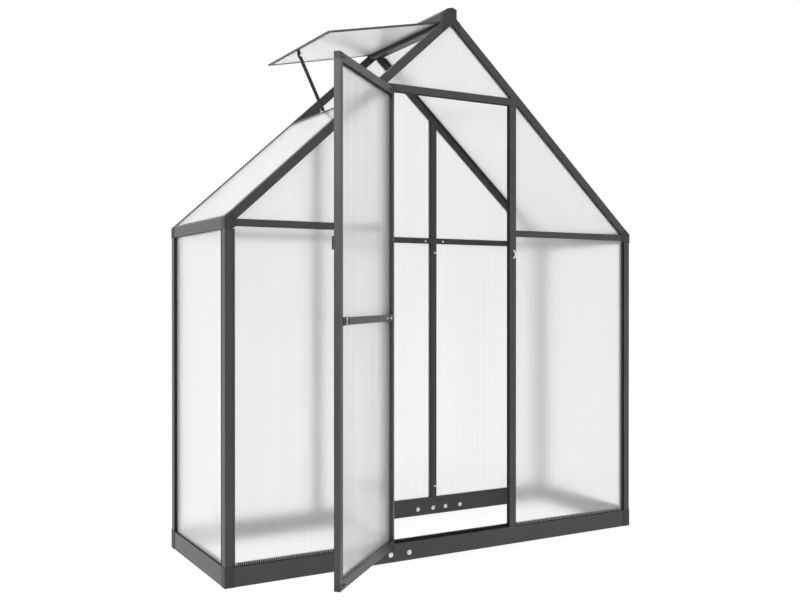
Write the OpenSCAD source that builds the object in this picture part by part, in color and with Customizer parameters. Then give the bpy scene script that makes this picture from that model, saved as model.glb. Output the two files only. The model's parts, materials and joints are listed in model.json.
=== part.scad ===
// Polycarbonate greenhouse with a hinged front door and a raised roof vent.
// Millimetres, +Z up, +X to the right along the front wall, +Y towards the back.
// The origin is on the underside of the front base rail, at its middle.

/* [House] */
// Width over the outer faces of the side walls
house_w = 1900; // [1500:10:2600]
// Depth over the outer faces of the front and back walls
house_d = 650; // [500:10:1300]
// Height where the roof's outer plane meets the side wall's outer face
eave_z = 1313; // [1100:1:1500]
// Pitch of both roof slopes, in degrees
pitch = 42; // [38:0.5:46]

/* [Frame bars] */
// Thickness of every wall and gable bar, front to back
bar_t = 20; // [18:0.5:30]
// Face width of door posts, back posts and rafters
post_w = 32.5; // [26:0.5:40]
// Height of the eave bars in the front and back walls
eave_bar_h = 24; // [18:0.5:34]
// Drop of the eave bars' top below the eave height
eave_bar_drop = 5; // [2:0.5:12]
// Height of the door lintel's face
lintel_h = 28.5; // [20:0.5:40]
// How far the lintel's lower corners run past the door posts
lintel_over = 8.4; // [4:0.2:12]
// Face width of the corner posts
corner_w = 29; // [24:0.5:34]
// Depth of the corner posts along the side walls
corner_d = 33; // [28:0.5:44]
// Height of the side wall's eave rails
gutter_h = 40; // [30:1:60]
// Clear width of the doorway between the door posts
doorway_w = 575; // [480:5:700]

/* [Base] */
// Height of the base rails' outer face
base_h = 71; // [50:1:100]
// Height of the flange that stands behind the sheets
base_flange_h = 11; // [6:0.5:14]
// Length of the corner caps along the base rails
base_cap = 36; // [34:0.5:50]
// How far the base caps stand above the base rails
base_cap_rise = 4; // [1:0.5:10]

/* [Sheets] */
// Thickness of the twin-wall sheets
sheet_t = 4; // [3:0.5:5]
// Depth of a wall sheet's slot behind the bar's outer face
recess = 8.6; // [6:0.2:9]
// Depth of the slots cut into the bars for the sheets' edges
slot_in = 8; // [6:0.5:9]
// Bite of a sheet's edge inside its slot or behind its lip
bite = 7; // [4:0.5:7]
// Reach of the corner posts' lips
corner_lip = 11; // [8:0.5:12]
// Reach of the lips over the roof sheets' edges
lip = 9; // [7:0.5:12]
// Thickness of all lips
lip_t = 1.6; // [1.2:0.1:2]

/* [Ridge and vent] */
// Half width of the ridge beam on the fixed slope
ridge_right = 23; // [18:0.5:30]
// Half width of the ridge beam on the vent's slope
ridge_left = 41; // [34:0.5:50]
// Height of the ridge beam above the crossing of the roof planes
ridge_rise = 24; // [18:0.5:34]
// Length of the vent from its hinge line to its outer edge
vent_l = 507; // [380:1:560]
// How far the vent is raised above its closed place, in degrees
vent_open = 30; // [10:1:45]
// Thickness of the vent's edge bars
vent_t = 6.5; // [6.5:0.5:10]
// Width of the vent's edge bars
vent_bar = 12; // [10:0.5:24]
// Width of the stay's arm
stay_w = 14; // [8:0.5:16]

/* [Door] */
// Thickness of the door's frame
door_t = 22; // [18:0.5:26]
// Face height of the door's top and bottom rails
door_bar = 30; // [26:0.5:40]
// Face width of the door's stiles
door_stile = 27; // [24:0.5:40]
// Height of the door's middle rail
door_mid_h = 25; // [18:0.5:34]
// Height of the middle rail's centre above the ground
door_mid_z = 950; // [700:1:1100]
// Overlap of the door past the doorway's edges
door_lap = 7; // [5:0.5:12]
// Running clearance between the door and the wall in front of it
door_gap = 5; // [5:0.5:8]
// Distance of the pivot line inside the doorway's edge
hinge_in = 1.5; // [0:0.5:4]
// Angle at which the door stands open, in degrees
door_open = 137; // [90:0.5:160]
// Radius of the door's pivot pins
pin_r = 4; // [3:0.5:5]

/* [Hidden] */
eps = 0.01;

// Colours
FRAME = [0.25, 0.26, 0.27];
CAP = [0.16, 0.16, 0.17];
SHEET = [0.9, 0.93, 0.94];
ZINC = [0.75, 0.76, 0.78];

// Walls: half width, front and back faces
hw = house_w / 2;
y_front = -bar_t / 2;
y_back = y_front + house_d;

// Slot for a wall sheet: the sheet's front face and the slot's rear face, measured in
// from the bar's outer face, and the same for a roof sheet below the roof's outer plane
play = 0.4;
seat = recess + play / 2;
slot_end = recess + sheet_t + play;
roof_seat = lip_t + play / 2;
roof_slot_end = lip_t + sheet_t + play;
slack = lip - bite;
rest_gap = 0.3;

// Roof: heights of the outer plane and of planes parallel to it, d below it
rise = tan(pitch);
apex_z = eave_z + hw * rise;
function roof_z(x, d = 0) = apex_z - abs(x) * rise - d / cos(pitch);
function roof_x(z, d = 0) = (apex_z - d / cos(pitch) - z) / rise;
eave_bar_top = eave_z - eave_bar_drop;
eave_bar_z = eave_bar_top - eave_bar_h;
gutter_z = eave_z - gutter_h;
post_x = doorway_w / 2;
lintel_z = roof_z(post_x + post_w + lintel_over, post_w);
lintel_top = lintel_z + lintel_h;

// Corner cap at the eaves: its width and the foot of the rafter's square end
eave_cap_w = 45;
cap_proud = 1.5;
function cut_x(d) = hw - eave_cap_w + (post_w - d) * sin(pitch);

// Ridge beam: corners of its crown
crown_flat = 20;
crown_drop = 6;
shoulder_drop = 24;

// Vent: hinge line, its room between the rafters
vent_hinge_x = -ridge_left + 1.4;
vent_hinge_z = roof_z(vent_hinge_x) + 2;
vent_drop = 4.5;
vent_side_gap = 4;
vent_y0 = y_front + bar_t + vent_side_gap;
vent_w = house_d - 2 * (bar_t + vent_side_gap);
vent_fall = pitch - vent_open;
vent_lip_t = (vent_t - sheet_t - play) / 2;
vent_web = 4;
vent_start = (ridge_left + rest_gap + vent_hinge_x + vent_drop * sin(vent_fall)) / cos(vent_fall);
sill_w = 22;
sill_d = vent_drop;
vent_lap = 8;
sill_x = vent_hinge_x - (vent_l - vent_lap) * cos(pitch);

// Stay: knuckle under the vent's outer bar, foot on the sill
stay_in = 10;
stay_drop = 27;
stay_t = 4;
ear_t = 3;
mid_y = y_front + house_d / 2;
stay_top = [vent_hinge_x - (vent_l - stay_in) * cos(vent_fall) - stay_drop * sin(-vent_fall),
    vent_hinge_z - (vent_l - stay_in) * sin(vent_fall) - stay_drop * cos(vent_fall)];

// Door: pivot line, leaf and rails
door_half = door_t / 2;
hinge_y = y_front - door_gap - door_half;
hinge_x = -post_x + hinge_in;
door_l = post_x + door_lap + hinge_in - hinge_x;
door_z = base_h - door_lap;
door_top = lintel_z + door_lap;
door_cap_h = 24;
bracket_t = 5;
bracket_lift = 3;
bracket_half = 15;
pin_play = 0.06;
rail_end_plate = 58;
latch_share = 0.646;
latch_z = door_z + latch_share * (door_top - door_z);

// ---------- helpers ----------

// Turns a profile drawn in the X-Z plane into a bar from y0 to y1
module along_y(y0, y1) {
    translate([0, y1, 0]) rotate([90, 0, 0]) linear_extrude(height = y1 - y0) children();
}

// A front-wall shape and its twin in the back wall, mirrored front to back
module to_back() {
    translate([0, y_front + y_back, 0]) mirror([0, 1, 0]) children();
}

module both_sides() {
    children();
    mirror([1, 0, 0]) children();
}

// The space that a wall sheet's edge takes up in a bar
module slot(x0, x1, z0, z1) {
    translate([x0, y_front + recess, z0]) cube([x1 - x0, sheet_t + play, z1 - z0]);
}

// Two lips in plan view, starting at x = 0 and reaching towards +X
module corner_lips() {
    for (y = [recess - lip_t, slot_end])
        translate([-eps, y_front + y]) square([corner_lip + eps, lip_t]);
}

// Everything above the roof's plane lowered by d, used to trim posts to the rafters
module above_roof(d) {
    far = 2 * house_w;
    along_y(-far, far)
        polygon([[-hw, roof_z(hw, d)], [0, roof_z(0, d)], [hw, roof_z(hw, d)],
            [hw, far], [-hw, far]]);
}

// ---------- base ----------

module base_bar(length) {
    translate([0, y_front, 0]) cube([length, bar_t, base_h]);
    translate([0, y_front + slot_end, base_h - eps])
        cube([length, bar_t - slot_end, base_flange_h + eps]);
}

module base_front_bar() {
    translate([-hw + base_cap, 0, 0]) base_bar(house_w - 2 * base_cap);
}

module base_front() {
    color(FRAME) base_front_bar();
}

module base_back() {
    color(FRAME) to_back() base_front_bar();
}

module base_side() {
    translate([-hw - y_front, y_front + house_d - base_cap, 0]) rotate([0, 0, -90])
        base_bar(house_d - 2 * base_cap);
}

module base_left() {
    color(FRAME) base_side();
}

module base_right() {
    color(FRAME) mirror([1, 0, 0]) base_side();
}

module base_cap_block() {
    translate([-hw - cap_proud, y_front - cap_proud, 0])
        cube([base_cap + cap_proud, base_cap + cap_proud, base_h + base_cap_rise]);
}

module base_caps() {
    color(CAP) both_sides() {
        base_cap_block();
        to_back() base_cap_block();
    }
}

// ---------- posts ----------

module base_ring() {
    base_front_bar();
    to_back() base_front_bar();
    both_sides() base_side();
}

// Corner post: stands on its cap, holds the front sheet and the side sheet
module corner_post() {
    z0 = base_h + base_cap_rise;
    difference() {
        translate([-hw, 0, z0]) linear_extrude(height = gutter_z - z0) {
            translate([0, y_front]) square([corner_w, corner_d]);
            translate([corner_w, 0]) corner_lips();
            translate([-y_front, y_front + corner_d]) rotate([0, 0, 90]) mirror([0, 1]) corner_lips();
        }
        base_ring();
    }
}

module front_corner_posts() {
    color(FRAME) both_sides() corner_post();
}

module back_corner_posts() {
    color(FRAME) to_back() both_sides() corner_post();
}

// Upright beside the doorway, trimmed to the rafters, its slot on the outer side
module upright(top) {
    difference() {
        translate([post_x, y_front, base_h]) cube([post_w, bar_t, top - base_h]);
        slot(post_x + post_w - slot_in, post_x + post_w + 1, 0, top + 1);
        above_roof(post_w);
        base_front_bar();
    }
}

module door_posts() {
    color(FRAME) both_sides() upright(lintel_z);
}

// Back post: runs up to the rafter and holds sheets on both sides
module back_post() {
    difference() {
        upright(apex_z);
        slot(post_x - 1, post_x + slot_in, 0, apex_z);
    }
}

module back_posts() {
    color(FRAME) to_back() both_sides() back_post();
}

module lintel() {
    color(FRAME) difference() {
        along_y(y_front, y_front + bar_t)
            polygon([[-roof_x(lintel_z, post_w), lintel_z], [roof_x(lintel_z, post_w), lintel_z],
                [roof_x(lintel_top, post_w), lintel_top],
                [-roof_x(lintel_top, post_w), lintel_top]]);
        slot(-hw, hw, lintel_top - slot_in, lintel_top + 1);
    }
}

// ---------- eaves ----------

module wall_eave_bar(x0, x1) {
    difference() {
        translate([x0, y_front, eave_bar_z]) cube([x1 - x0, bar_t, eave_bar_h]);
        slot(x0 - 1, x1 + 1, eave_bar_top - slot_in, eave_bar_top + 1);
        slot(x0 - 1, x1 + 1, eave_bar_z - 1, eave_bar_z + slot_in);
    }
}

module front_eave_bars() {
    color(FRAME) both_sides()
        wall_eave_bar(post_x + post_w, hw - eave_cap_w);
}

module back_eave_bars() {
    color(FRAME) to_back() {
        both_sides() wall_eave_bar(post_x + post_w, hw - eave_cap_w);
        wall_eave_bar(-post_x, post_x);
    }
}

// Side eave rail: closes the wall sheet's top and the roof sheet's foot
module eave_rail() {
    y0 = y_front + corner_d;
    y1 = y_front + house_d - corner_d;
    difference() {
        along_y(y0, y1)
            polygon([[-hw, gutter_z], [-hw + bar_t, gutter_z],
                [-hw + bar_t, roof_z(hw - bar_t, roof_slot_end)],
                [-hw + lip_t, roof_z(hw - lip_t, roof_slot_end)],
                [-hw + lip_t, roof_z(hw - lip_t, lip_t)], [-hw + lip, roof_z(hw - lip, lip_t)],
                [-hw + lip, roof_z(hw - lip)], [-hw, roof_z(hw)]]);
        translate([-hw + recess, y0 - 1, gutter_z - 1])
            cube([sheet_t + play, y1 - y0 + 2, slot_in + 1]);
    }
}

module eave_rail_left() {
    color(FRAME) eave_rail();
}

module eave_rail_right() {
    color(FRAME) mirror([1, 0, 0]) eave_rail();
}

module eave_cap() {
    along_y(y_front - cap_proud, y_front + corner_d)
        polygon([[-hw - cap_proud, gutter_z], [-hw + corner_w, gutter_z],
            [-hw + eave_cap_w, eave_bar_z],
            [-hw + eave_cap_w, roof_z(hw - eave_cap_w, post_w)],
            [-cut_x(0), roof_z(cut_x(0))], [-hw - cap_proud, roof_z(hw + cap_proud)]]);
}

module eave_caps() {
    color(CAP) both_sides() {
        eave_cap();
        to_back() eave_cap();
    }
}

// ---------- roof ----------

// Rafter of the left slope, square-ended on the eave cap and cut upright at the ridge,
// with a slot below for the gable sheets and lips behind for a roof sheet up to x = top
module rafter(top) {
    difference() {
        along_y(y_front, y_front + bar_t) rafter_strip(ridge_left, 0, post_w);
        along_y(y_front + recess, y_front + slot_end)
            rafter_strip(ridge_left, post_w - slot_in, post_w + 1);
    }
    for (d = [0, roof_slot_end])
        along_y(y_front + bar_t - eps, y_front + bar_t + lip) rafter_strip(top, d, d + lip_t);
}

// Section of the left rafter up to x = top, between two depths below the roof's outer plane
module rafter_strip(top, d0, d1) {
    polygon([[-cut_x(d1), roof_z(cut_x(d1), d1)], [-top, roof_z(top, d1)],
        [-top, roof_z(top, d0)], [-cut_x(d0), roof_z(cut_x(d0), d0)]]);
}

module rafter_pair() {
    rafter(-sill_x);
    mirror([1, 0, 0]) rafter(ridge_left);
}

module front_rafters() {
    color(FRAME) rafter_pair();
}

module back_rafters() {
    color(FRAME) to_back() rafter_pair();
}

function crown() = [[ridge_right, apex_z + ridge_rise - crown_drop - 1],
    [2, apex_z + ridge_rise], [-crown_flat, apex_z + ridge_rise - crown_drop],
    [-ridge_left, apex_z + ridge_rise - shoulder_drop]];

module ridge_beam() {
    reach = ridge_right + lip * cos(pitch);
    color(FRAME) along_y(y_front + bar_t, y_back - bar_t) {
        polygon(concat(crown(), [[-ridge_left, roof_z(ridge_left, slot_end)],
            [0, roof_z(0, post_w)], [ridge_right, roof_z(ridge_right, slot_end + lip_t)]]));
        for (d = [0, roof_slot_end])
            polygon([[0, roof_z(0, d + lip_t)], [reach, roof_z(reach, d + lip_t)],
                [reach, roof_z(reach, d)], [0, roof_z(0, d)]]);
    }
}

module ridge_cap() {
    foot = [[-ridge_left, roof_z(ridge_left, post_w)], [0, roof_z(0, post_w)],
        [ridge_left, roof_z(ridge_left, post_w)]];
    difference() {
        along_y(y_front - cap_proud, y_front + bar_t)
            polygon(concat(crown(), foot, [[ridge_left, roof_z(ridge_left)],
                [ridge_right, roof_z(ridge_right)]]));
        slot_rise = slot_in / cos(pitch);
        along_y(y_front + recess, y_front + slot_end)
            polygon([foot[0] - [1, 1], foot[1] - [0, 1], foot[2] + [1, -1], foot[2] + [1, slot_rise],
                foot[1] + [0, slot_rise], foot[0] + [-1, slot_rise]]);
    }
}

module ridge_caps() {
    color(CAP) {
        ridge_cap();
        to_back() ridge_cap();
    }
}

// ---------- vent ----------

// Places a piece drawn along the raised vent: x = 0 at its hinge line, outwards is -X
module vent_place() {
    translate([vent_hinge_x, 0, vent_hinge_z]) rotate([0, -vent_fall, 0]) children();
}

// Channel section of the vent's edge bars, its slot facing +X
module vent_channel() {
    difference() {
        translate([0, -vent_drop]) square([vent_bar, vent_t]);
        translate([vent_web, vent_lip_t - vent_drop]) square([vent_bar, sheet_t + play]);
    }
}

module vent_hinge_bar() {
    color(FRAME) vent_place() translate([-vent_start, 0, 0])
        along_y(vent_y0, vent_y0 + vent_w) mirror([1, 0]) vent_channel();
}

module vent_outer_bar() {
    color(FRAME) vent_place() translate([-vent_l, 0, 0])
        along_y(vent_y0, vent_y0 + vent_w) vent_channel();
}

module vent_side_bar() {
    translate([-vent_l + vent_bar, vent_y0, 0]) rotate([90, 0, 90])
        linear_extrude(height = vent_l - 2 * vent_bar - vent_start) vent_channel();
}

module vent_side_bars() {
    color(FRAME) vent_place() {
        vent_side_bar();
        to_back() vent_side_bar();
    }
}

module vent_sheet() {
    edge = vent_web + slack;
    color(SHEET) vent_place()
        translate([-vent_l + edge, vent_y0 + edge, vent_lip_t - vent_drop])
            cube([vent_l - vent_start - 2 * edge, vent_w - 2 * edge, sheet_t]);
}

// Bar across the roof below the vent: closes the lower sheet's top, its body lowered
// for the closed vent
module vent_sill() {
    x1 = sill_x;
    x0 = sill_x - sill_w * cos(pitch);
    foot = x0 - lip * cos(pitch);
    color(FRAME) along_y(y_front + bar_t + lip, y_back - bar_t - lip) {
        polygon([[x0, roof_z(x0, slot_end + lip_t)], [x1, roof_z(x1, slot_end + lip_t)],
            [x1, roof_z(x1, sill_d)], [x0, roof_z(x0, sill_d)]]);
        polygon([[x0 + lip_t, roof_z(x0 + lip_t)], [foot, roof_z(foot)],
            [foot, roof_z(foot, lip_t)], [x0, roof_z(x0, lip_t)], [x0, roof_z(x0, sill_d + 1)],
            [x0 + lip_t, roof_z(x0 + lip_t, sill_d + 1)]]);
        polygon([[x0 + eps, roof_z(x0 + eps, roof_slot_end)], [foot, roof_z(foot, roof_slot_end)],
            [foot, roof_z(foot, roof_slot_end + lip_t)],
            [x0 + eps, roof_z(x0 + eps, roof_slot_end + lip_t)]]);
    }
}

// Stay: flat arm between an ear under the vent's outer bar and an ear on the sill
module vent_stay() {
    foot_x = sill_x - stay_w / 2;
    foot = [foot_x, roof_z(foot_x, sill_d) + stay_w / 2 + ear_t];
    run = stay_top - foot;
    color(CAP) {
        translate([foot[0], mid_y, foot[1]]) rotate([90, -atan2(run[1], run[0]), 0])
            linear_extrude(height = stay_t, center = true) {
                translate([0, -stay_w / 2]) square([norm(run), stay_w]);
                circle(d = stay_w, $fn = 32);
                translate([norm(run), 0]) circle(d = stay_w, $fn = 32);
            }
        vent_place()
            translate([-vent_l + stay_in - stay_w / 2, mid_y, -stay_drop - stay_w / 2])
                cube([stay_w, stay_t / 2 + ear_t, stay_drop + stay_w / 2 - vent_drop]);
        along_y(mid_y, mid_y + stay_t / 2 + ear_t)
            polygon([[foot_x - stay_w / 2, roof_z(foot_x - stay_w / 2, sill_d)],
                [foot_x + stay_w / 2, roof_z(foot_x + stay_w / 2, sill_d)],
                [foot_x + stay_w / 2, foot[1] + stay_w / 2],
                [foot_x - stay_w / 2, foot[1] + stay_w / 2]]);
    }
}

// ---------- sheets ----------

sheet_y = y_front + seat;
sheet_z = base_h + rest_gap;
sheet_top = eave_bar_z + bite;
gable_d = post_w - bite;
cap_edge = hw - eave_cap_w - rest_gap;

// Outer wall sheet beside the doorway, notched round the base cap and the eave cap
module outer_sheet() {
    x0 = post_x + post_w - bite;
    x1 = hw - corner_w - corner_lip + bite;
    foot_x = hw - base_cap - rest_gap;
    foot_z = base_h + base_cap_rise + rest_gap;
    top_z = gutter_z - rest_gap;
    along_y(sheet_y, sheet_y + sheet_t)
        polygon([[x0, sheet_z], [foot_x, sheet_z], [foot_x, foot_z], [x1, foot_z],
            [x1, top_z], [cap_edge, eave_bar_z - rest_gap], [cap_edge, sheet_top], [x0, sheet_top]]);
}

// Triangle above it, between the post, the eave bar and the rafter
module gable_corner_sheet(top_z) {
    x0 = post_x + post_w - bite;
    z0 = eave_bar_top - bite;
    z1 = min(top_z, roof_z(x0, gable_d));
    along_y(sheet_y, sheet_y + sheet_t)
        polygon([[x0, z0], [cap_edge, z0], [cap_edge, roof_z(cap_edge, gable_d)],
            [roof_x(z1, gable_d) + eps, z1], [x0, z1]]);
}

// Sheet under the ridge, between two uprights or above the lintel
module gable_middle_sheet(half, z0) {
    along_y(sheet_y, sheet_y + sheet_t)
        polygon([[-half, z0], [half, z0], [half, roof_z(half, gable_d) + eps], [0, roof_z(0, gable_d)],
            [-half, roof_z(half, gable_d) + eps]]);
}

module front_sheets() {
    color(SHEET) both_sides() outer_sheet();
}

module front_gable_sheets() {
    z0 = lintel_top - bite;
    color(SHEET) {
        both_sides() gable_corner_sheet(lintel_z - rest_gap);
        gable_middle_sheet(roof_x(z0, gable_d), z0);
    }
}

module back_sheets() {
    half = post_x + bite;
    color(SHEET) to_back() {
        both_sides() outer_sheet();
        translate([-half, sheet_y, sheet_z]) cube([2 * half, sheet_t, sheet_top - sheet_z]);
    }
}

module back_gable_sheets() {
    color(SHEET) to_back() {
        both_sides() gable_corner_sheet(apex_z);
        gable_middle_sheet(post_x + bite, eave_bar_top - bite);
    }
}

module side_sheets() {
    edge = max(corner_d + corner_lip - bite, base_cap + rest_gap);
    color(SHEET) both_sides() translate([-hw + seat, y_front + edge, sheet_z])
        cube([sheet_t, house_d - 2 * edge, gutter_z + bite - sheet_z]);
}

// Roof sheet from the eave rail up to x = top, narrower between the eave caps
module roof_sheet(top) {
    foot = hw - lip_t - rest_gap;
    knee = hw - eave_cap_w - rest_gap;
    side = bar_t + slack;
    cap_side = corner_d + rest_gap;
    along_y(y_front + side, y_back - side) roof_strip(top, knee);
    along_y(y_front + cap_side, y_back - cap_side) roof_strip(knee - eps, foot);
}

// Section of a roof sheet between two distances from the ridge, on the right slope
module roof_strip(x0, x1) {
    polygon([[x0, roof_z(x0, roof_seat + sheet_t)], [x1, roof_z(x1, roof_seat + sheet_t)],
        [x1, roof_z(x1, roof_seat)], [x0, roof_z(x0, roof_seat)]]);
}

module roof_sheet_right() {
    color(SHEET) roof_sheet(ridge_right + slack);
}

module roof_sheet_left() {
    color(SHEET) mirror([1, 0, 0]) roof_sheet(-sill_x + sill_w * cos(pitch) + slack);
}

// ---------- door ----------

// Top and bottom brackets on the wall, bored for the door's pivot pins
module hinge_bracket(z) {
    reach = y_front - hinge_y + bracket_half;
    translate([hinge_x, hinge_y, z]) difference() {
        union() {
            cylinder(h = bracket_t, r = bracket_half, $fn = 48);
            translate([-bracket_half, 0, 0])
                cube([2 * bracket_half, reach - bracket_half, bracket_t]);
        }
        translate([0, 0, -1]) cylinder(h = bracket_t + 2, r = pin_r + pin_play, $fn = 48);
    }
}

module hinge_brackets() {
    color(CAP) {
        hinge_bracket(door_top + bracket_lift);
        hinge_bracket(door_z - bracket_lift - bracket_t);
    }
}

// Keeper for the latch, on the right door post: a flat crescent open to the doorway
keeper_w = 14.5;
keeper_h = 39;
keeper_band = 6.5;
keeper_t = 3;
keeper_r = (keeper_w * keeper_w + keeper_h * keeper_h / 4) / (2 * keeper_w);
module latch_keeper() {
    color(ZINC) translate([post_x + post_w - keeper_w - 1, y_front, latch_z]) rotate([90, 0, 0])
        difference() {
            translate([keeper_w - keeper_r, 0, 0]) cylinder(h = keeper_t, r = keeper_r, $fn = 64);
            translate([keeper_w - keeper_r, 0, -1])
                cylinder(h = keeper_t + 2, r = keeper_r - keeper_band, $fn = 64);
            translate([-keeper_h, -keeper_h, -1]) cube([keeper_h, 2 * keeper_h, keeper_t + 2]);
        }
}

// Places a piece of the door: x runs from the pivot line to the latch, y = 0 mid-thickness
module door_place() {
    translate([hinge_x, hinge_y, 0]) rotate([0, 0, -door_open]) children();
}

// The door's sheet lies towards its outer face, in slots cut into the stiles and rails
door_skin = 3;
door_bite = 5;
door_sheet_y = -door_half + door_skin;
rail_y = door_sheet_y + sheet_t + rest_gap;
stile_x = door_stile - door_half;
latch_stile_x = door_l - door_stile;
stile_z = door_z + door_cap_h;
stile_h = door_top - door_z - 2 * door_cap_h;
rail_l = latch_stile_x - stile_x;
module door_slot(x0, x1, z0, z1) {
    translate([x0, door_sheet_y - play / 2, z0]) cube([x1 - x0, sheet_t + play, z1 - z0]);
}

// Hinge stile: rounded about the pivot line
module door_hinge_stile() {
    color(FRAME) door_place() difference() {
        translate([0, 0, stile_z]) linear_extrude(height = stile_h) {
            circle(r = door_half, $fn = 64);
            translate([0, -door_half]) square([stile_x, door_t]);
        }
        door_slot(stile_x - slot_in, stile_x + 1, 0, door_top);
    }
}

module door_latch_stile() {
    color(FRAME) door_place() difference() {
        translate([latch_stile_x, -door_half, stile_z]) cube([door_stile, door_t, stile_h]);
        door_slot(latch_stile_x - 1, latch_stile_x + slot_in, 0, door_top);
    }
}

module door_top_rail() {
    z = door_top - door_bar;
    color(FRAME) door_place() difference() {
        translate([stile_x, -door_half, z]) cube([rail_l, door_t, door_bar]);
        door_slot(0, door_l, z - 1, z + slot_in);
    }
}

module door_bottom_rail() {
    z = door_z + door_bar;
    color(FRAME) door_place() difference() {
        translate([stile_x, -door_half, door_z]) cube([rail_l, door_t, door_bar]);
        door_slot(0, door_l, z - slot_in, z + 1);
    }
}

module door_mid_rail() {
    color(FRAME) door_place() translate([stile_x, rail_y, door_mid_z - door_mid_h / 2])
        cube([rail_l, door_half - rail_y, door_mid_h]);
}

// End plates that tie the middle rail to the stiles
plate_t = 1.5;
module door_rail_brackets() {
    color(CAP) door_place() for (x = [stile_x, latch_stile_x - rail_end_plate])
        translate([x, door_half, door_mid_z - door_mid_h / 2 - plate_t])
            cube([rail_end_plate, plate_t, door_mid_h + 2 * plate_t]);
}

module door_caps() {
    color(CAP) door_place() for (z = [door_z, door_top - door_cap_h]) translate([0, 0, z]) {
        cylinder(h = door_cap_h, r = door_half, $fn = 64);
        translate([0, -door_half, 0]) cube([stile_x, door_t, door_cap_h]);
        translate([latch_stile_x, -door_half, 0]) cube([door_stile, door_t, door_cap_h]);
    }
}

module door_pins() {
    reach = bracket_lift + bracket_t + 2;
    color(ZINC) translate([hinge_x, hinge_y, 0]) {
        translate([0, 0, door_top]) cylinder(h = reach, r = pin_r, $fn = 48);
        translate([0, 0, door_z - reach]) cylinder(h = reach, r = pin_r, $fn = 48);
    }
}

module door_sheet() {
    x0 = stile_x - door_bite;
    z0 = door_z + door_bar - door_bite;
    color(SHEET) door_place() translate([x0, door_sheet_y, z0])
        cube([rail_l + 2 * door_bite, sheet_t, door_top - door_bar + door_bite - z0]);
}

// Turning latch on the outer face of the free stile
latch_w = 16;
latch_h = 44;
latch_t = 9;
module door_latch() {
    color(CAP) door_place()
        translate([door_l - latch_w - 4, -door_half - latch_t, latch_z - latch_h / 2])
            cube([latch_w, latch_t, latch_h]);
}

// ---------- parts ----------

base_front();
base_back();
base_left();
base_right();
base_caps();
front_corner_posts();
back_corner_posts();
door_posts();
back_posts();
lintel();
front_eave_bars();
back_eave_bars();
eave_rail_left();
eave_rail_right();
eave_caps();
front_rafters();
back_rafters();
ridge_beam();
ridge_caps();
vent_sill();
vent_hinge_bar();
vent_outer_bar();
vent_side_bars();
vent_sheet();
vent_stay();
front_sheets();
front_gable_sheets();
back_sheets();
back_gable_sheets();
side_sheets();
roof_sheet_right();
roof_sheet_left();
hinge_brackets();
latch_keeper();
door_hinge_stile();
door_latch_stile();
door_top_rail();
door_mid_rail();
door_bottom_rail();
door_rail_brackets();
door_caps();
door_pins();
door_sheet();
door_latch();
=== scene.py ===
"""Looks of a small polycarbonate greenhouse: powder-coated bars, plastic caps, fluted clear sheets.

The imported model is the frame. Everything here is in metres, in the frame's own axes: +X to the right along
the front wall, +Y from front to back, +Z up, with the ground at z = 0.
"""

import json
import math

import bpy
import numpy as np
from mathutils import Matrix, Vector


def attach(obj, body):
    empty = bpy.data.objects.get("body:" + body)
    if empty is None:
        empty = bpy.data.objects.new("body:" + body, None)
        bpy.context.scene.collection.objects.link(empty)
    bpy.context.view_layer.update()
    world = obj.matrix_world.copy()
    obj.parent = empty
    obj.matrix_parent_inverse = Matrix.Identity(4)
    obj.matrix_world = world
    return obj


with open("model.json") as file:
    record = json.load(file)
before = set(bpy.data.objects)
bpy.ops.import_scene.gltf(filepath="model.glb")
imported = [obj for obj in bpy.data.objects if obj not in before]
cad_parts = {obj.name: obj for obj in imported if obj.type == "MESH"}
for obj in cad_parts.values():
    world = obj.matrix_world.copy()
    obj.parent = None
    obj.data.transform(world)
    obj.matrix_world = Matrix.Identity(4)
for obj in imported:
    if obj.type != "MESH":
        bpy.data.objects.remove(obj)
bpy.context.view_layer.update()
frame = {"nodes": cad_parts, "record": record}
nodes = frame["nodes"]

# ---------- sizes of the house that the small pieces follow ----------

FRONT_FACE = -0.010
BAR_BACK = 0.010
BACK_Y = 0.630
BACK_BAR = 0.620
SIDE_X = 0.940
MIDDLE_Y = 0.315

BASE_BAR_TOP = 0.071
POST_INNER = 0.2875
POST_OUTER = 0.320
PANE_EDGE = 0.921
SIDE_PANE_HALF = 0.282
SIDE_PANE_TOP = 1.273
EAVE_BAR_FOOT = 1.284
EAVE_BAR_TOP = 1.308
GABLE_EDGE = 0.905
LINTEL_FOOT = 1.829
LINTEL_TOP = 1.8575

ROOF_PITCH = math.radians(42)
EAVE_X = 0.950
EAVE_Z = 1.313
RAFTER_DEPTH = 0.0325
ROOF_FOOT_X = 0.9454
ROOF_FOOT_Z = 1.3069

DOOR_PIVOT = (-0.286, -0.026, 0.0)
DOOR_ANGLE = math.radians(-137)
DOOR_PANE_U = (0.016, 0.555)
DOOR_PANE_Z = (0.094, 1.806)
DOOR_BAR_Z = 0.950
DOOR_INNER_FACE = -0.011


def mm(points):
    """Points drawn in millimetres."""
    return np.array(points) * 0.001


def box_loop(u0, u1, v0, v1):
    """Corners of a rectangle, against the clock."""
    return [(u0, v0), (u1, v0), (u1, v1), (u0, v1)]


# ---------- shader maths ----------


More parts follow.
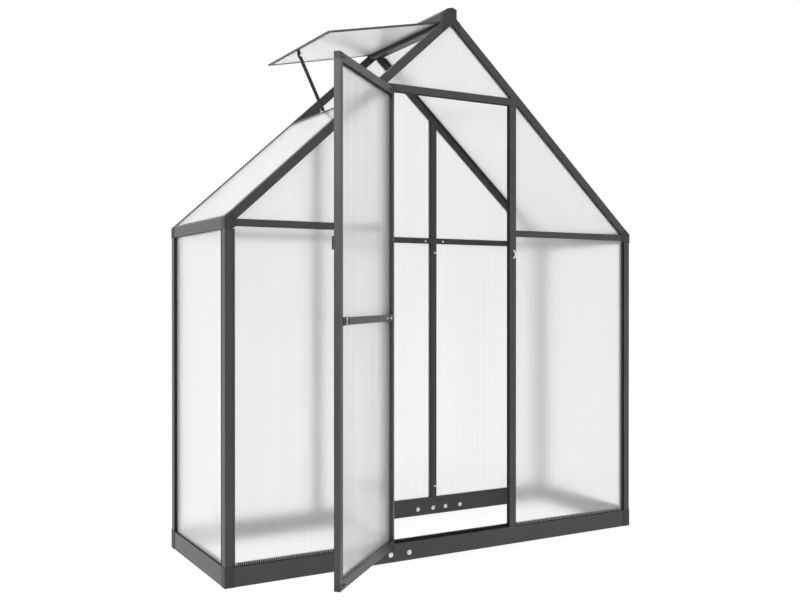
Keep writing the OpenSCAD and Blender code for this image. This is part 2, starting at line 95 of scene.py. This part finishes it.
class Signal:
    """A shader socket with arithmetic: each operator adds one Math node."""

    def __init__(self, sheet, socket):
        self.sheet = sheet
        self.socket = socket

    def math(self, operation, *others):
        values = dict(enumerate((self,) + others))
        return self.sheet.add("Math", {"operation": operation}, values)[0]

    def __add__(self, other):
        return self.math("ADD", other)

    def __radd__(self, other):
        return self.math("ADD", other)

    def __sub__(self, other):
        return self.math("SUBTRACT", other)

    def __rsub__(self, other):
        return self.sheet.add("Math", {"operation": "SUBTRACT"}, {0: other, 1: self})[0]

    def __mul__(self, other):
        return self.math("MULTIPLY", other)

    def __rmul__(self, other):
        return self.math("MULTIPLY", other)

    def cosine(self):
        return self.math("COSINE")

    def sine(self):
        return self.math("SINE")

    def most(self, other):
        return self.math("MAXIMUM", other)

    def least(self, other):
        return self.math("MINIMUM", other)


class Finish:
    """One material and its node tree."""

    def __init__(self, name):
        self.material = bpy.data.materials.new(name)
        self.material.use_nodes = True
        self.tree = self.material.node_tree
        self.tree.nodes.clear()

    def add(self, kind, settings=None, values=None):
        """Adds a node: its settings first, then the values or links of its sockets. Returns its outputs."""
        node = self.tree.nodes.new("ShaderNode" + kind)
        for key, value in (settings or {}).items():
            if key == "stops":
                self.set_stops(node, value)
            else:
                setattr(node, key, value)
        for key, value in (values or {}).items():
            if isinstance(value, Signal):
                self.tree.links.new(value.socket, node.inputs[key])
            else:
                node.inputs[key].default_value = value
        return [Signal(self, out) for out in node.outputs]

    def set_stops(self, node, stops):
        ramp = node.color_ramp
        while len(ramp.elements) < len(stops):
            ramp.elements.new(0.5)
        for element, (place, colour) in zip(ramp.elements, stops):
            element.position = place
            element.color = colour

    def place(self):
        """Object coordinates: the piece's own place in metres."""
        return self.add("TexCoord")[3]

    def dot(self, vector, direction):
        return self.add("VectorMath", {"operation": "DOT_PRODUCT"}, {0: vector, 1: tuple(direction)})[1]

    def join(self, x, y, z=0.0):
        return self.add("CombineXYZ", None, {0: x, 1: y, 2: z})[0]

    def leaning(self, direction, amount):
        """The surface's normal, leaned towards a direction by a varying amount."""
        face = self.add("NewGeometry")[1]
        lean = self.add("VectorMath", {"operation": "SCALE"}, {0: tuple(direction), 3: amount})[0]
        both = self.add("VectorMath", {"operation": "ADD"}, {0: face, 1: lean})[0]
        return self.add("VectorMath", {"operation": "NORMALIZE"}, {0: both})[0]

    def split(self, vector):
        return self.add("SeparateXYZ", None, {0: vector})

    def noise(self, vector, scale, detail=2.0, roughness=0.5):
        values = {"Vector": vector, "Scale": scale, "Detail": detail, "Roughness": roughness}
        return self.add("TexNoise", None, values)[0]

    def ramp(self, signal, stops):
        return self.add("ValToRGB", {"stops": stops}, {0: signal})[0]

    def bump(self, height, distance):
        return self.add("Bump", None, {"Height": height, "Distance": distance, "Strength": 1.0})[0]

    def output(self, shader):
        self.add("OutputMaterial", None, {0: shader})
        return self.material


def grey(level):
    return (level, level, level, 1.0)


# ---------- finishes ----------


def powder_coat():
    """Dark satin powder coat over aluminium: fine orange peel, faint cloudy wear of the gloss."""
    f = Finish("powder_coat")
    place = f.place()
    cloud = f.noise(place, 6.0, 3.0)
    peel = f.noise(place, 900.0, 2.0)
    colour = f.ramp(cloud, [(0.3, grey(0.026)), (0.7, grey(0.034))])
    rough = cloud * 0.08 + 0.34
    normal = f.bump(peel, 0.00004)
    shader = f.add("BsdfPrincipled", None, {"Base Color": colour, "Roughness": rough, "Normal": normal,
                                            "IOR": 1.5})
    return f.output(shader[0])


def cap_plastic():
    """Moulded plastic: darker and duller than the bars, with a fine grain."""
    f = Finish("cap_plastic")
    place = f.place()
    grain = f.noise(place, 1400.0, 2.0)
    cloud = f.noise(place, 14.0, 2.0)
    colour = f.ramp(cloud, [(0.3, grey(0.017)), (0.7, grey(0.022))])
    normal = f.bump(grain, 0.00006)
    shader = f.add("BsdfPrincipled", None, {"Base Color": colour, "Roughness": cloud * 0.06 + 0.5,
                                            "Normal": normal, "IOR": 1.47})
    return f.output(shader[0])


def zinc_plate():
    """Bright zinc on steel."""
    f = Finish("zinc_plate")
    place = f.place()
    cloud = f.noise(place, 90.0, 3.0)
    colour = f.ramp(cloud, [(0.3, grey(0.74)), (0.7, grey(0.84))])
    shader = f.add("BsdfPrincipled", None, {"Base Color": colour, "Metallic": 1.0,
                                            "Roughness": cloud * 0.12 + 0.24})
    return f.output(shader[0])


# the flutes' spacing isn't settled: 7.2 and 8.3 mm fit about equally well, so set it from a real sheet
FLUTE_PITCH = 0.0072
WEB_SHARE = 0.17
WEB_EDGE = 4.0
SKIN_BULGE = 0.12
STREAKS_PER_METRE = 0.8


def twin_wall(name, across, web_tint=(0.82, 0.88), tint=(0.985, 1.0), band=0.7):
    """Clear twin-wall sheet: a milky web every FLUTE_PITCH in the direction across, frosted skin between.

    The web's mask is a cosine of the run across, cut off so that WEB_SHARE of each turn stays. The skin
    swells over each flute, so its normal leans by a sine of the same run. Streaks vary both tints."""
    f = Finish(name)
    place = f.place()
    run = f.dot(place, across) * (1 / FLUTE_PITCH)
    turn = run * (2 * math.pi)
    web = ((turn.cosine() - math.cos(math.pi * WEB_SHARE)) * WEB_EDGE + 0.5).most(0.0).least(1.0)
    height = f.split(place)[2]
    streak = f.noise(f.join(run * band, height * STREAKS_PER_METRE), 1.0, 2.0, 0.7)
    skin = f.ramp(streak, [(0.35, grey(tint[0])), (0.6, grey(tint[1]))])
    swelling = f.leaning(across, turn.sine() * SKIN_BULGE)
    clear = f.add("BsdfPrincipled", None, {"Base Color": skin, "Roughness": 0.42, "IOR": 1.1,
                                           "Transmission Weight": 1.0, "Coat Weight": 1.0,
                                           "Coat Roughness": 0.2, "Normal": swelling})[0]
    milk = f.ramp(streak, [(0.35, grey(web_tint[0])), (0.6, grey(web_tint[1]))])
    milky = f.add("BsdfPrincipled", None, {"Base Color": milk, "Roughness": 0.5, "IOR": 1.2})[0]
    return f.output(f.add("MixShader", None, {0: web, 1: clear, 2: milky})[0])


def shade_rubber():
    """Near-black rubber for the strips that stand in for shade in slots, reveals and the base channel
    (painted shade): dull, with a fine grain and a bloom of dust.
    """
    f = Finish("shade_rubber")
    place = f.place()
    bloom = f.noise(place, 40.0, 3.0)
    colour = f.ramp(bloom, [(0.35, grey(0.004)), (0.7, grey(0.009))])
    normal = f.bump(f.noise(place, 700.0, 2.0), 0.00005)
    shader = f.add("BsdfPrincipled", None, {"Base Color": colour, "Roughness": bloom * 0.1 + 0.6,
                                            "Specular IOR Level": 0.25, "Normal": normal})
    return f.output(shader[0])


def flute_ends():
    """Webs of the sheets at their feet: milky plastic painted grey and darker towards the base as painted
    shade of the base channel, with a random mottle.
    """
    f = Finish("flute_ends")
    place = f.place()
    # painted shade: the webs darken towards the base; the noise adds a random mottle
    channel_shade_and_mottle = f.noise(place, 60.0, 2.0) * 0.3 + f.split(place)[2] * 8.0 - 0.2
    colour = f.ramp(channel_shade_and_mottle, [(0.3, grey(0.4)), (0.8, grey(0.62))])
    shader = f.add("BsdfPrincipled", None, {"Base Color": colour, "Roughness": 0.5})
    return f.output(shader[0])


# ---------- shapes ----------


def unit(vector):
    return np.asarray(vector, float) / np.linalg.norm(vector)


def make_mesh(name, points, faces, body, slot, finish):
    """A flat-shaded piece from points and faces, riding on a body."""
    mesh = bpy.data.meshes.new(name)
    mesh.from_pydata(np.asarray(points).reshape(-1, 3).tolist(), [], faces)
    mesh.polygons.foreach_set("use_smooth", [False] * len(mesh.polygons))
    mesh.update()
    piece = bpy.data.objects.new(name, mesh)
    bpy.context.scene.collection.objects.link(piece)
    mesh.materials.append(finish)
    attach(piece, body)


def weave(rows, columns, wrap_rows=False, wrap_columns=False):
    """Four-cornered faces between the neighbouring points of a grid, row by row.

    A wrap joins the last line to the first."""
    i = np.arange(rows if wrap_rows else rows - 1)[:, None]
    j = np.arange(columns if wrap_columns else columns - 1)[None, :]
    i2, j2 = (i + 1) % rows, (j + 1) % columns
    corners = [i * columns + j, i * columns + j2, i2 * columns + j2, i2 * columns + j]
    return np.stack(np.broadcast_arrays(*corners), 2).reshape(-1, 4)


def axes_at(origin, u, v):
    """A place for shapes drawn in (u, v, w): w is square to u and v."""
    u, v = unit(u), unit(v)
    return np.asarray(origin, float), np.stack([u, v, np.cross(u, v)])


def put(points, place):
    """Points drawn in (u, v, w), moved to their place: origin + u, v and w along its axes."""
    origin, axes = place
    return np.asarray(points) @ axes + origin


WALL = axes_at((0, 0, 0), (1, 0, 0), (0, 0, 1))
BACK_WALL = axes_at((0, BACK_Y, 0), (-1, 0, 0), (0, 0, 1))
RIGHT_WALL = axes_at((SIDE_X, MIDDLE_Y, 0), (0, 1, 0), (0, 0, 1))
LEFT_WALL = axes_at((-SIDE_X, MIDDLE_Y, 0), (0, -1, 0), (0, 0, 1))
DOOR = axes_at(DOOR_PIVOT, (math.cos(DOOR_ANGLE), math.sin(DOOR_ANGLE), 0), (0, 0, 1))


def loop_strip(loop, profile):
    """Strip with mitred corners round a closed loop that runs against the clock.

    The profile's points are (a, b). Each corner moves inwards by a times (n1 + n2) / (1 + n1.n2), where n1
    and n2 are the inward normals of its two sides, and b is the depth w."""
    loop, profile = np.asarray(loop, float), np.asarray(profile, float)
    side = np.roll(loop, -1, axis=0) - loop
    normal = np.stack([-side[:, 1], side[:, 0]], 1) / np.linalg.norm(side, axis=1)[:, None]
    before = np.roll(normal, 1, axis=0)
    mitre = (normal + before) / (1 + (normal * before).sum(axis=1))[:, None]
    flat = loop[:, None] + profile[None, :, :1] * mitre[:, None]
    deep = np.broadcast_to(profile[None, :, 1], flat.shape[:2])
    return np.concatenate([flat, deep[..., None]], 2), weave(len(loop), len(profile), True, True)


def strips(name, parts, body, slot, finish):
    """Several strips in one piece: parts are (loop, profile, place)."""
    points, faces, count = [], [], 0
    for loop, profile, place in parts:
        grid, quads = loop_strip(loop, profile)
        points.append(put(grid.reshape(-1, 3), place))
        faces.append(quads + count)
        count += grid.shape[0] * grid.shape[1]
    make_mesh(name, np.concatenate(points), np.concatenate(faces).tolist(), body, slot, finish)


TURNS = np.linspace(0, 2 * np.pi, 25)[:-1]
SOCKET_SIDES = 6


def screws(profile, places):
    """Screw heads: the profile (radius, height) turned about w at each place, with a hexagonal socket.

    The socket is the last two rings: radius times cos(half a side) / cos(angle from a side's middle)."""
    profile = np.asarray(profile, float)
    radius = np.broadcast_to(profile[:, :1], (len(profile), len(TURNS))).copy()
    side = 2 * np.pi / SOCKET_SIDES
    radius[-2:] *= np.cos(side / 2) / np.cos(np.mod(TURNS, side) - side / 2)
    ring = np.stack([radius * np.cos(TURNS), radius * np.sin(TURNS),
                     np.broadcast_to(profile[:, 1:], radius.shape)], 2)
    one = weave(len(profile), len(TURNS), False, True)
    foot = list(range(len(TURNS)))[::-1]
    top = [(len(profile) - 1) * len(TURNS) + k for k in range(len(TURNS))]
    points, faces, count = [], [], 0
    for place in places:
        points.append(put(ring.reshape(-1, 3), place))
        faces += (one + count).tolist() + [[k + count for k in foot], [k + count for k in top]]
        count += ring.shape[0] * ring.shape[1]
    return np.concatenate(points), faces


def prism(outline, w0, w1, place):
    """A flat outline (u, v), against the clock, drawn out from w0 to w1."""
    outline = np.asarray(outline, float)
    n = len(outline)
    grid = np.concatenate([np.column_stack([outline, np.full(n, w)]) for w in (w0, w1)])
    sides = weave(2, n, False, True)
    return put(grid, place), sides.tolist() + [list(range(n))[::-1], list(range(n, 2 * n))]


def joined(parts):
    """Puts (points, faces) pairs together."""
    points, faces, count = [], [], 0
    for some, corners in parts:
        points.append(some)
        faces += [[k + count for k in face] for face in corners]
        count += len(some)
    return np.concatenate(points), faces


# ---------- stage ----------


def studio_world():
    """White room of strength 1, which lights the house and is what glass and metal show."""
    world = bpy.data.worlds.new("studio")
    bpy.context.scene.world = world
    world.use_nodes = True
    room = world.node_tree.nodes["Background"]
    room.inputs["Color"].default_value = grey(1.0)
    room.inputs["Strength"].default_value = 1.0


FLOOR_RADIUS = 40.0


def white_floor():
    """Round floor: mostly its own white, with a share of plain diffuse that takes the object's shadow."""
    f = Finish("white_floor")
    glow = f.add("Emission", None, {"Color": grey(1.0), "Strength": 0.85})[0]
    matte = f.add("BsdfDiffuse", None, {"Color": grey(0.2)})[0]
    both = f.add("AddShader", None, {0: glow, 1: matte})[0]
    material = f.output(both)
    turns = np.linspace(0, 2 * np.pi, 65)[:-1]
    rim = np.stack([FLOOR_RADIUS * np.cos(turns), FLOOR_RADIUS * np.sin(turns), 0 * turns], 1)
    mesh = bpy.data.meshes.new("floor")
    mesh.from_pydata(rim.tolist(), [], [list(range(len(turns)))])
    floor = bpy.data.objects.new("floor", mesh)
    bpy.context.scene.collection.objects.link(floor)
    mesh.materials.append(material)


def softbox(name, place, target, width, height, power):
    """A rectangular lamp that faces its target."""
    lamp = bpy.data.lights.new(name, "AREA")
    lamp.shape = "RECTANGLE"
    lamp.size = width
    lamp.size_y = height
    lamp.energy = power
    holder = bpy.data.objects.new(name, lamp)
    bpy.context.scene.collection.objects.link(holder)
    holder.location = place
    aim = Vector(target) - Vector(place)
    holder.rotation_euler = aim.to_track_quat("-Z", "Y").to_euler()
    holder.visible_transmission = False


def camera():
    """A 42.9 mm lens at eye height, in front of the house and to its left."""
    lens = bpy.data.cameras.new("camera")
    lens.sensor_width = 36.0
    lens.lens = 42.907
    lens.clip_end = 200.0
    holder = bpy.data.objects.new("camera", lens)
    bpy.context.scene.collection.objects.link(holder)
    holder.location = (-2.0777, -3.2356, 1.0314)
    heading = math.radians(-29.685)
    pitch = math.radians(-0.195)
    holder.rotation_euler = (math.radians(90) + pitch, 0, heading)
    bpy.context.scene.camera = holder


# ---------- dress the frame ----------

# near-black strips in this rubber are painted shade in the slots, reveals and base channel
SHADE_RUBBER = shade_rubber()
ZINC = zinc_plate()
FLUTE_ENDS = flute_ends()
FINISHES = {"frame": powder_coat(), "cap": cap_plastic(), "zinc": ZINC}

FRONT_SHEET = twin_wall("sheet_front", (1, 0, 0))
SIDE_SHEET = twin_wall("sheet_side", (0, 1, 0))
DOOR_SHEET = twin_wall("sheet_door", DOOR[1][0], web_tint=(0.88, 1.0), tint=(0.95, 1.0), band=0.22)
for part in frame["record"]["subparts"]:
    node = nodes[part["node"]]
    slot = part["material_slot"]
    node.data.materials.clear()
    if part["node"] == "door_sheet":
        node.data.materials.append(DOOR_SHEET)
    elif slot == "sheet":
        upright = part["node"].startswith(("front", "back"))
        node.data.materials.append(FRONT_SHEET if upright else SIDE_SHEET)
    else:
        node.data.materials.append(FINISHES[slot])


# ---------- gaskets: black strips as painted shade in the glazing slots ---

RISE = math.tan(ROOF_PITCH)
RAFTERS_MEET = EAVE_Z + EAVE_X * RISE - RAFTER_DEPTH / math.cos(ROOF_PITCH)


def under_rafter(x):
    """Height of the rafters' lower edge."""
    return RAFTERS_MEET - abs(x) * RISE


def under_rafter_x(z):
    """How far from the middle the rafters' lower edge is at a height."""
    return (RAFTERS_MEET - z) / RISE


def openings(middle):
    """Loops round a gable wall's panes, against the clock as seen from outside."""
    right_pane = box_loop(POST_OUTER, PANE_EDGE, BASE_BAR_TOP, EAVE_BAR_FOOT)
    right_gable = [(POST_OUTER, EAVE_BAR_TOP), (GABLE_EDGE, EAVE_BAR_TOP),
                   (GABLE_EDGE, under_rafter(GABLE_EDGE)), (POST_OUTER, under_rafter(POST_OUTER))]
    left_pane, left_gable = [[(-x, z) for x, z in loop[::-1]] for loop in (right_pane, right_gable)]
    if middle == "doorway":
        half = under_rafter_x(LINTEL_TOP)
        rest = [[(-half, LINTEL_TOP), (half, LINTEL_TOP), (0, RAFTERS_MEET)]]
    else:
        shoulder = under_rafter(POST_INNER)
        rest = [box_loop(-POST_INNER, POST_INNER, BASE_BAR_TOP, EAVE_BAR_FOOT),
                [(-POST_INNER, EAVE_BAR_TOP), (POST_INNER, EAVE_BAR_TOP), (POST_INNER, shoulder),
                 (0, RAFTERS_MEET), (-POST_INNER, shoulder)]]
    return [right_pane, left_pane, right_gable, left_gable] + rest


def shade_gasket(w0, w1, thick=0.0012):
    """Section of a black strip on a bar's edge from depth w0 to w1, shaped as a glazing gasket and standing
    in for the slot's shade: flat foot, rounded crown.
    """
    t = np.linspace(0, np.pi, 7)
    middle, half = (w0 + w1) / 2, (w1 - w0) / 2
    crown = np.stack([thick * (0.35 + 0.65 * np.sin(t)), middle - half * np.cos(t)], 1)
    return np.concatenate([crown, [[0.0, w1], [0.0, w0]]])


# black strips round every pane, outside and inside: painted shade of the slots' recesses
OUTSIDE = shade_gasket(0.0018, 0.0094)
INSIDE = shade_gasket(-0.0094, -0.0036)
walls = []
for place, middle in ((WALL, "doorway"), (BACK_WALL, "window")):
    for loop in openings(middle):
        walls += [(loop, OUTSIDE, place), (loop, INSIDE, place)]
for place in (RIGHT_WALL, LEFT_WALL):
    pane = box_loop(-SIDE_PANE_HALF, SIDE_PANE_HALF, BASE_BAR_TOP, SIDE_PANE_TOP)
    walls += [(pane, OUTSIDE, place), (pane, INSIDE, place)]
strips("glazing_shade_gaskets", walls, "house", "cap", SHADE_RUBBER)

# black strips round the doorway and on the threshold: painted shade of the lintel's underside, the posts'
# reveals and the threshold's recess
doorway = box_loop(-POST_INNER, POST_INNER, BASE_BAR_TOP, LINTEL_FOOT)
strips("doorway_shade_seal", [(doorway, shade_gasket(-0.0095, 0.0095, 0.002), WALL)], "house", "cap", SHADE_RUBBER)
threshold = box_loop(-POST_INNER, POST_INNER, 0.0715, 0.0826)
threshold_shade_lips = [prism(threshold, w0, w1, WALL) for w0, w1 in ((-0.0030, -0.0024), (-0.0106, -0.0100))]
make_mesh("threshold_shade_seal", *joined(threshold_shade_lips), "house", "cap", SHADE_RUBBER)

# a black strip round the door's pane, and a thin black plate under its top rail: painted shade line below
# the rail
door_pane = box_loop(*DOOR_PANE_U, *DOOR_PANE_Z)
strips("door_shade_gasket", [(door_pane, shade_gasket(0.0083, 0.0105), DOOR)], "door", "cap", SHADE_RUBBER)
top_shade_strip = box_loop(*DOOR_PANE_U, 1.8045, 1.8062)
make_mesh("door_top_shade_strip", *prism(top_shade_strip, -0.0100, 0.0035, DOOR), "door", "cap", SHADE_RUBBER)


# ---------- sheet feet ----------


FOOT_EDGES = (0.322, 0.900)
FOOT_TOP = 0.0818


def foot_comb(x0, x1):
    """Open flute ends at a front sheet's foot: a thin box at every whole FLUTE_PITCH from x0 to x1."""
    at = np.arange(math.ceil(x0 / FLUTE_PITCH), math.floor(x1 / FLUTE_PITCH) + 1) * FLUTE_PITCH
    pick = np.array([[i, j, k] for i in (0, 1) for j in (0, 1) for k in (0, 1)])
    x = at[:, None] + np.where(pick[:, 0], 0.0004, -0.0004)
    z = np.broadcast_to(np.where(pick[:, 1], FOOT_TOP, 0.0712), x.shape)
    y = np.broadcast_to(np.where(pick[:, 2], -0.0013, -0.0042), x.shape)
    box = np.array([[0, 1, 3, 2], [4, 6, 7, 5], [0, 4, 5, 1], [2, 3, 7, 6], [0, 2, 6, 4], [1, 5, 7, 3]])
    faces = (np.arange(len(at))[:, None, None] * 8 + box).reshape(-1, 4)
    return np.stack([x, y, z], 2).reshape(-1, 3), faces[:, ::-1].tolist()


for side, (x0, x1) in (("left", (-FOOT_EDGES[1], -FOOT_EDGES[0])), ("right", FOOT_EDGES)):
    make_mesh("foot_webs_" + side, *foot_comb(x0, x1), "house", "sheet", FLUTE_ENDS)
    # a black strip at each sheet's foot: painted shade of the base channel, shaped as a closing strip
    closing_shade = prism(box_loop(x0, x1, 0.0711, FOOT_TOP), 0.00125, 0.0016, WALL)
    make_mesh("foot_strip_" + side, *closing_shade, "house", "cap", SHADE_RUBBER)


# ---------- fasteners ----------

BASE_BOLT = mm([(9.6, 0), (10.0, 0.4), (9.6, 1.2), (6.2, 1.3), (6.0, 4.0), (5.2, 5.4), (3.6, 6.0),
                (2.9, 5.9), (2.9, 3.6)])
BUTTON = mm([(5.0, 0), (5.1, 0.5), (4.8, 1.8), (3.9, 2.8), (2.7, 3.3), (1.6, 3.4), (1.6, 2.2)])
BASE_BOLT_Z = 0.030
FRONT_BOLTS_X = (-0.432, -0.348, -0.280, -0.197)
BACK_BOLTS_X = (0.218, 0.301, 0.370, 0.453)
EAVE_SCREW_IN = (0.259, 1.294)
EAVE_SCREW_OUT = (0.355, 1.294)
POST_SCREW_TOP = (0.311, 1.240)
POST_SCREW_FOOT = (0.311, 0.132)


def facing(points, normal):
    """Places at the points, with w along the normal and v upright."""
    u = np.cross((0, 0, 1), normal)
    return [axes_at(point, u, np.cross(normal, u)) for point in points]


def both_sides(pairs, y):
    """Points at (x, z) and at their mirror images, on a face at y."""
    return [(side * x, y, z) for side in (1, -1) for x, z in pairs]


front_bolts = facing([(x, FRONT_FACE, BASE_BOLT_Z) for x in FRONT_BOLTS_X], (0, -1, 0))
back_bolts = facing([(x, BACK_BAR, BASE_BOLT_Z) for x in BACK_BOLTS_X], (0, -1, 0))
make_mesh("base_bolts", *screws(BASE_BOLT, front_bolts + back_bolts), "house", "zinc", ZINC)

back_pairs = (EAVE_SCREW_IN, EAVE_SCREW_OUT, POST_SCREW_TOP, POST_SCREW_FOOT)
front_pairs = (EAVE_SCREW_OUT, POST_SCREW_TOP, POST_SCREW_FOOT)
post_screws = facing(both_sides(back_pairs, BACK_BAR), (0, -1, 0))
post_screws += facing(both_sides(front_pairs, BAR_BACK), (0, 1, 0))
make_mesh("post_screws", *screws(BUTTON, post_screws), "house", "zinc", ZINC)

# the clamp at the door bar's free end: an I of (distance from the pivot, height)
CLAMP = mm([(514, 938.2), (528, 938.2), (528, 942.5), (523, 942.5), (523, 957.5), (528, 957.5),
            (528, 961.8), (514, 961.8), (514, 957.5), (519, 957.5), (519, 942.5), (514, 942.5)])
make_mesh("door_bar_clamp", *prism(CLAMP, -0.0135, -0.0112, DOOR), "door", "zinc", ZINC)


def on_door(u, z, w):
    """A place on the door, its own w pointing out of the inner face."""
    return axes_at(put(np.array([u, z, w]), DOOR), -DOOR[1][0], DOOR[1][1])


bar_screws = [on_door(u, DOOR_BAR_Z, -0.0125) for u in (0.041, 0.085)]
cap_screws = [on_door(u, z, DOOR_INNER_FACE) for z in (0.078, 1.822) for u in (0.03, 0.045, 0.54, 0.555)]
make_mesh("door_screws", *screws(BUTTON * 0.9, bar_screws), "door", "zinc", ZINC)
make_mesh("door_cap_screws", *screws(BUTTON * 0.7, cap_screws), "door", "cap", FINISHES["cap"])

# roof clips: a section of (up the slope, off the slope), hooked round each roof sheet's foot
CLIP = mm([(-2.0, -3.0), (-0.5, -3.0), (-0.5, 4.2), (22.0, 4.2), (22.0, 5.6), (-2.0, 5.6)])
CLIP_HALF = 0.009
CLIPS_Y = (0.206, 0.461)
slope_x, slope_z = math.cos(ROOF_PITCH), math.sin(ROOF_PITCH)
clips = []
for side in (-1, 1):
    up, off = (-side * slope_x, 0, slope_z), (side * slope_z, 0, slope_x)
    feet = [axes_at((side * ROOF_FOOT_X, y, ROOF_FOOT_Z), up, off) for y in CLIPS_Y]
    clips += [prism(CLIP, -CLIP_HALF, CLIP_HALF, foot) for foot in feet]
make_mesh("roof_clips", *joined(clips), "house", "frame", FINISHES["frame"])

STAY_FACE = 0.313
stay_pins = facing([(-0.5150, STAY_FACE, 2.0065), (-0.4200, STAY_FACE, 1.7870)], (0, -1, 0))
make_mesh("stay_pins", *screws(BUTTON, stay_pins), "house", "zinc", ZINC)


# ---------- picture ----------

studio_world()
white_floor()
softbox("key", (-4.5, -1.0, 3.2), (0, 0.3, 1.0), 3.0, 3.0, 120)
camera()

bpy.context.scene.view_settings.view_transform = "Standard"
